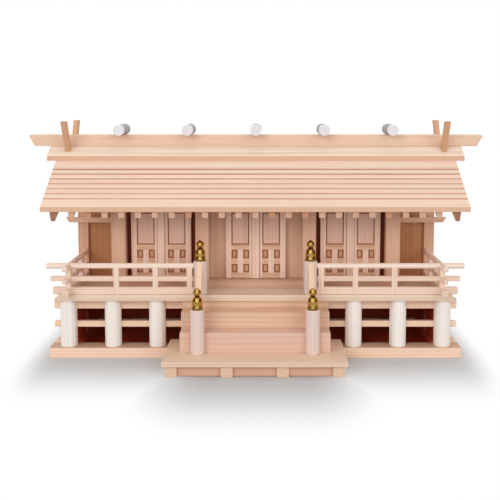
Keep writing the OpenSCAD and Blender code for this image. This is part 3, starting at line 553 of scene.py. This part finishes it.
bump = metal.add("Bump", {}, {"Strength": 0.25, "Distance": 0.00003, "Height": turning + cloud * 0.5})
surface = brass.node_tree.nodes["Principled BSDF"]
surface.inputs["Metallic"].default_value = 1.0
brass.node_tree.links.new(colour.socket, surface.inputs["Base Color"])
brass.node_tree.links.new(roughness.socket, surface.inputs["Roughness"])
brass.node_tree.links.new(bump.socket, surface.inputs["Normal"])
fit(joined("brass_caps", caps), brass, ["newel_caps"])


# Railings: a low board, a middle rail and a round top rail, held by short square posts.
# The rails cross at the front corners, and their free ends run past the corner posts.
def board(name, low, high, arris=0.0004):
    """A planed board between two corners, with its arrises taken off."""
    nothing_selected()
    low, high = Vector(low), Vector(high)
    bpy.ops.mesh.primitive_cube_add(size=1, location=(low + high) / 2, scale=high - low)
    piece = bpy.context.object
    piece.name = name
    bpy.ops.object.transform_apply(location=True, rotation=True, scale=True)
    bpy.ops.object.mode_set(mode="EDIT")
    bpy.ops.mesh.select_all(action="SELECT")
    bpy.ops.mesh.bevel(offset=arris, segments=2, affect="EDGES")
    bpy.ops.object.mode_set(mode="OBJECT")
    return piece


def round_rail(name, start, length, turn, radius=0.00305):
    """A turned bar laid down: made upright, then turned over and carried to its start."""
    piece = turned(name, (0, 0, 0), peg_outline(radius, 0, length, 0.0006), 32)
    piece.data.transform(Matrix.Translation(start) @ turn)
    return piece


rail_y = -0.0505
corner_x = 0.2075
rail_z = floor_z + 0.03155
wing_y = 0.033
laid_right = Matrix.Rotation(radians(90), 4, "Y")
laid_back = Matrix.Rotation(radians(-90), 4, "X")
rail_wood = cypress("rail_wood", "X", tint(245, 220, 202), tint(218, 167, 133), seed=17.0)
post_wood = cypress("rail_post_wood", "Z", tint(245, 220, 202), tint(218, 167, 133), seed=18.0)
side_rail_wood = cypress("side_rail_wood", "Y", tint(245, 220, 202), tint(218, 167, 133), seed=19.0)
top_rail_wood = cypress("top_rail_wood", "X", tint(251, 231, 217), tint(228, 182, 152), turned=True, seed=17.5)
side_top_wood = cypress("side_top_rail_wood", "Y", tint(251, 231, 217), tint(228, 182, 152), turned=True, seed=19.5)
for side, place in ((-1, "left"), (1, "right")):
    node = "railing_front_" + place
    inner = newel_x + newel_r - 0.0006

    def across(start, stop):
        return sorted((side * start, side * stop))

    low_x, mid_x = across(inner, corner_x + 0.0175), across(inner, corner_x + 0.020)
    top_x = across(inner, corner_x + 0.0245)
    rails = [
        board("low_rail", (low_x[0], rail_y - 0.0033, floor_z), (low_x[1], rail_y + 0.0033, floor_z + 0.0077), 0.0006),
        board("mid_rail", (mid_x[0], rail_y - 0.0025, floor_z + 0.0146),
              (mid_x[1], rail_y + 0.0025, floor_z + 0.0199), 0.0005),
        round_rail("top_rail", (top_x[0], rail_y, rail_z), top_x[1] - top_x[0], laid_right)
    ]
    rails[2].name = node + "_top_rail"
    fit(rails[2], top_rail_wood, [node])
    fit(joined(node + "_rails", rails[:2]), rail_wood, [node])
    uprights = []
    for x in (newel_x + 0.0116, corner_x - 0.0965, corner_x - 0.053, corner_x):
        uprights.append(board("post", (side * x - 0.003, rail_y - 0.0034, floor_z), (side * x + 0.003, rail_y + 0.0034,
                        rail_z - 0.0012)))
    fit(joined(node + "_posts", uprights), post_wood, [node])
    node = "railing_side_" + place
    x = side * corner_x
    rails = [
        board("low_rail", (x - 0.0033, rail_y - 0.0175, floor_z + 0.0004), (x + 0.0033, wing_y, floor_z + 0.0073), 0.0006),
        board("mid_rail", (x - 0.0025, rail_y - 0.020, floor_z + 0.0150), (x + 0.0025, wing_y, floor_z + 0.0195), 0.0005),
        round_rail("top_rail", (x, rail_y - 0.020, rail_z), wing_y - rail_y + 0.020, laid_back)
    ]
    rails[2].name = node + "_top_rail"
    fit(rails[2], side_top_wood, [node])
    fit(joined(node + "_rails", rails[:2]), side_rail_wood, [node])
    uprights = []
    for i in (1, 2):
        y = rail_y + i * (wing_y - rail_y) / 3
        uprights.append(board("post", (x - 0.0030, y - 0.003, floor_z), (x + 0.0030, y + 0.003, rail_z - 0.0012)))
    fit(joined(node + "_posts", uprights), post_wood, [node])


# Hall: the sill lies on the floor, square pillars stand on it and carry the lintels and plates.
# The walls are thin boards with upright grain. Behind the gaps beside the doors stand more boards, pale
# and wide beside the centre doors; where the gap is narrow they are near black red, painted shade of the dark hall
# behind.
sill_wood = cypress("sill_wood", "X", tint(217, 181, 155), tint(188, 134, 101), seed=20.0)
plate_wood = cypress("plate_wood", "X", tint(196, 138, 102), tint(156, 96, 64), seed=21.0)
pillar_wood = cypress("pillar_wood", "Z", tint(228, 187, 159), tint(198, 137, 102), pith=(0.05, 0.12), ring=0.0024, seed=22.0)
wall_wood = cypress("wall_wood", "Z", tint(233, 197, 168), tint(198, 140, 103), pith=(0.03, 0.10), seed=23.0)
fit(eased("sill"), sill_wood, ["sill"])
for node in ("lintels", "wall_plates"):
    fit(eased(node), plate_wood, [node])
# Painted shade: the corner posts under the eaves take a slightly darker copy of the pillar wood.
corner_post_shaded_wood = cypress("corner_post_wood", "Z", tint(227, 183, 153), tint(196, 134, 100), ring=0.0024, seed=22.5)
fit(eased("front_pillars", 0.0006), pillar_wood, ["front_pillars"])
fit(eased("corner_posts", 0.0006), corner_post_shaded_wood, ["corner_posts"])
for node in ("hall_side_walls", "wing_side_walls", "rear_wall"):
    fit(eased(node, 0.0003), wall_wood, [node])
# Painted shade: the narrow jamb boards are near black red, for the dark inside seen through the gaps.
gap_painted_shade_wood = cypress("gap_board_painted_shade", "Z", tint(138, 60, 26), tint(100, 42, 18), pith=(0.03, 0.10), seed=36.0)
jamb_low, jamb_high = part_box("jamb_boards")
wide, narrow = [], []
for side in (-1, 1):
    for group, start, stop in ((wide, 0.0328, 0.0600), (narrow, 0.0600, 0.0772), (narrow, 0.1428, jamb_high.x)):
        ends = sorted((side * start, side * stop))
        group.append(board("jamb", (ends[0], jamb_low.y, jamb_low.z), (ends[1], jamb_high.y, jamb_high.z), 0.0002))
fit(joined("wide_jambs", wide), wall_wood, ["jamb_boards"])
fit(joined("narrow_jambs", narrow), gap_painted_shade_wood, ["jamb_boards"])


# Wings: at each end a panel stands far back between the hall and the corner post,
# under a short beam whose nose is cut on the slant. The panel's dark red tone is partly the wood's own and partly
# painted shade of the deep recess.
# Partly painted shade: a darker, redder tone for the panels in the deep recess.
wing_wood_and_shade = cypress("wing_panel_wood_and_shade", "Z", tint(202, 146, 102), tint(158, 98, 60), pith=(0.02, 0.08), contrast=0.3,
                    seed=24.0)
nose_wood = cypress("wing_beam_wood", "X", tint(240, 202, 174), tint(208, 148, 112), seed=25.0)
fit(eased("wing_panels", 0.0003), wing_wood_and_shade, ["wing_panels"])
fit(eased("wing_beams", 0.0005), nose_wood, ["wing_beams"])


# Doors: each leaf is a frame of stiles and rails round a fielded upper panel and four small panels.
# It turns on wooden pins, and the right leaf carries the cover strip over the meeting stiles.
leaf_front, leaf_back = -0.009, -0.005
leaf_foot, leaf_top = 0.0798, 0.1635
stile_in, stile_out, leaf_side = 0.0076, 0.0283, 0.0348
pane_w = 0.00705
pane_levels = ((0.0863, 0.0963), (0.1033, 0.1133))
lock_z, head_z = 0.1193, 0.157


def fielded(name, low, high, steps, woods):
    """A panel whose front is inset and pushed in or out, step by step, to leave a moulded edge."""
    piece = board(name, low, high, 0.0001)
    only(piece)
    bpy.ops.object.mode_set(mode="EDIT")
    bpy.ops.mesh.select_all(action="DESELECT")
    bpy.ops.object.mode_set(mode="OBJECT")
    front = min(piece.data.polygons, key=lambda f: (round(f.center.y, 5), -f.area))
    front.select = True
    before = len(piece.data.polygons)
    bpy.ops.object.mode_set(mode="EDIT")
    bpy.ops.mesh.select_mode(type="FACE")
    for inset, push in steps:
        bpy.ops.mesh.inset(thickness=inset, depth=0)
        if push:
            bpy.ops.transform.translate(value=(0, push, 0))
    bpy.ops.object.mode_set(mode="OBJECT")
    # The inset faces take the second wood, which paints the shade round the panel's edge.
    for wood in woods:
        piece.data.materials.append(wood)
    for face in piece.data.polygons[before:]:
        face.material_index = 0 if face.select else 1
    return piece


def leaf_parts(with_strip):
    """The right leaf of the centre pair: stiles, rails and panels as three pieces."""
    uprights = [
        board("stile", (0.0002, leaf_front, leaf_foot), (stile_in, leaf_back, leaf_top)),
        board("stile", (stile_out, leaf_front, leaf_foot), (leaf_side, leaf_back, leaf_top)),
        board("bar", (stile_in + pane_w, leaf_front, pane_levels[0][0]), (stile_out - pane_w, leaf_back,
              pane_levels[1][1]), 0.0002),
        turned("pin", (leaf_side - 0.003, -0.007, 0), peg_outline(0.001, leaf_foot - 0.0034, leaf_foot + 0.001, 0.0002),
               20),
        turned("pin", (leaf_side - 0.003, -0.007, 0), peg_outline(0.001, leaf_top - 0.001, leaf_top + 0.0034, 0.0002),
               20)
    ]
    if with_strip:
        uprights.append(board("strip", (-0.00405, leaf_front - 0.002, leaf_foot), (0.00405, leaf_front, leaf_top),
                              0.0006))
    crossings = []
    for low, high in ((leaf_foot, pane_levels[0][0]), (pane_levels[0][1], pane_levels[1][0]),
                      (pane_levels[1][1], lock_z), (head_z, leaf_top)):
        crossings.append(board("rail", (stile_in, leaf_front + 0.00008, low), (stile_out, leaf_back, high), 0.0002))
    fields = [fielded("panel", (stile_in, leaf_front + 0.0012, lock_z), (stile_out, leaf_back - 0.0008, head_z),
                      ((0.0004, 0), (0.0002, 0.0006), (0.0004, 0), (0.0003, -0.0007)), (field_wood, groove_painted_shade_wood))]
    for low, high in pane_levels:
        for start in (stile_in, stile_out - pane_w):
            fields.append(fielded("pane", (start, leaf_front + 0.0014, low), (start + pane_w, leaf_back - 0.0008, high),
                                  ((0.0005, 0), (0.0002, 0.0007), (0.0004, 0), (0.0005, -0.0006)),
                                  (pane_wood, groove_painted_shade_wood)))
    return {"stiles": joined("stiles", uprights), "rails": joined("rails", crossings),
            "panels": joined("panels", fields)}


# The stiles carry the painted shadow line of the cover strip.
stile_wood = cypress("door_stile_wood", "Z", tint(247, 216, 196), tint(214, 161, 131), ring=0.0024,
                     strip_shadow_line=(0.110, 0.0044), seed=26.0)
door_rail_wood = cypress("door_rail_wood", "X", tint(228, 187, 157), tint(196, 136, 100), ring=0.0024, seed=27.0)
field_wood = cypress("door_panel_wood", "Z", tint(236, 198, 179), tint(200, 143, 114), pith=(0.02, 0.06),
                     ring=0.0022, seed=28.0)
pane_wood = cypress("door_pane_wood", "Z", tint(212, 162, 128), tint(178, 118, 82), ring=0.0022, seed=28.5)
# Painted shade: a dark wood for the insets round every panel, where the frame's shadow falls.
groove_painted_shade_wood = cypress("door_groove_painted_shade", "Z", tint(176, 118, 84), tint(142, 86, 56), seed=37.0)
door_woods = {"stiles": stile_wood, "rails": door_rail_wood, "panels": None}
for hand in ("left", "right"):
    models = leaf_parts(hand == "right")
    for place, x in (("left", -0.110), ("centre", 0.0), ("right", 0.110)):
        node = place + "_door_" + hand + "_leaf"
        for part, model in models.items():
            piece = bpy.data.objects.new(node + "_" + part, model.data.copy())
            bpy.context.scene.collection.objects.link(piece)
            if hand == "left":
                piece.data.transform(Matrix.Translation((x, 0, 0)) @ Matrix.Scale(-1, 4, (1, 0, 0)))
                piece.data.flip_normals()
            else:
                piece.data.transform(Matrix.Translation((x, 0, 0)))
            fit(piece, door_woods[part], [node], node)
    for model in models.values():
        bpy.data.objects.remove(model)


# Rafters and bargeboards: square rafters run down under both slopes, and a deeper board with a
# tapered foot closes each verge. They carry the roof boards.
rafter_wood = cypress("rafter_wood", "Y", tint(226, 187, 160), tint(194, 132, 96), slope=True,
                      board=("X", 0.0183), patch=0.8, seed=29.0)
# Painted shade: the outer end faces of the bargeboards, at the tapered feet, are darker, for the roof's shadow.
barge_wood = cypress("bargeboard_wood", "Y", tint(226, 172, 134), tint(186, 118, 78), slope=True,
                     shade_tone=tint(158, 112, 86), shade_faces=["out"], seed=30.0)
fit(eased("rafters", 0.0005), rafter_wood, ["rafters"])
fit(eased("bargeboards", 0.0006), barge_wood, ["bargeboards"])


# Roof: long boards lie across the rafters on both slopes, each course lapping the one below.
# Planed faces, with the straight grain along the ridge, a narrow painted shadow line at every lap, and painted shade on
# the outer edge faces.
# Painted shade on the outer faces: the boards' front edges and the faces of the laps.
roof_wood = cypress("roof_board_wood", "X", tint(240, 213, 192), tint(219, 167, 133), pith=(0.03, 0.16), ring=0.0034, slope=True,
                    board=("Y", 0.0086), laps=(0.079, 0.0071, 6.0), shade_tone=tint(222, 180, 150),
                    shade_faces=["out"], seed=31.0)
for node in ("roof_front", "roof_rear"):
    fit(eased(node, 0.0003), roof_wood, [node])


# Ridge: two saddle boards cover the top of both slopes and carry the long ridge board,
# whose ends are cut on the slant. The saddle boards are thin where they meet, so their arrises are sharp.
# Painted shade on the outer edge faces of the saddle boards.
saddle_wood = cypress("saddle_board_wood", "X", tint(242, 222, 202), tint(218, 170, 136), pith=(0.02, 0.15), slope=True,
                      shade_tone=tint(222, 176, 146), shade_faces=["out"], seed=32.0)
ridge_wood = cypress("ridge_board_wood", "X", tint(238, 205, 178), tint(216, 164, 129), pith=(0.03, 0.10), seed=33.0)
fit(eased("ridge_saddle", 0.00006), saddle_wood, ["ridge_saddle"])
fit(eased("ridge_board", 0.0006), ridge_wood, ["ridge_board"])


# Ridge logs: five short turned logs of white sapwood lie across the ridge board, chamfered at the ends.
# The yearly rings show on the cut ends, and the barrels take a greyer tone, as painted shade.
log_low, log_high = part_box("ridge_logs")
log_r = 0.00665
log_z = log_high.z - log_r
log_pitch = 0.0804
logs = []
for i in range(-2, 3):
    piece = turned("log", (0, 0, 0), peg_outline(log_r, 0, log_high.y - log_low.y, 0.0007), 48)
    piece.data.transform(Matrix.Translation((i * log_pitch, log_low.y, log_z)) @ laid_back)
    logs.append(piece)
# Painted shade: the barrels of the logs are greyer than their cut ends, a little less so on top.
log_wood = cypress("log_wood", "Y", tint(243, 247, 255), tint(204, 195, 196), pith=(0.0, -log_z + 0.0007),
                   ring=0.0011, contrast=1.0, turned=True, shade_tone=tint(168, 160, 164), shade_faces=["barrel"],
                   seed=34.0)
fit(joined("round_logs", logs), log_wood, ["ridge_logs"])


# Forked finials: near each end two slim legs stand on the saddle boards and lean apart over the ridge.
finial_wood = cypress("finial_wood", "Z", tint(214, 167, 131), tint(183, 121, 86), pith=(0.02, 0.05), seed=35.0)
fit(eased("finials", 0.0006), finial_wood, ["finials"])


bpy.context.view_layer.update()
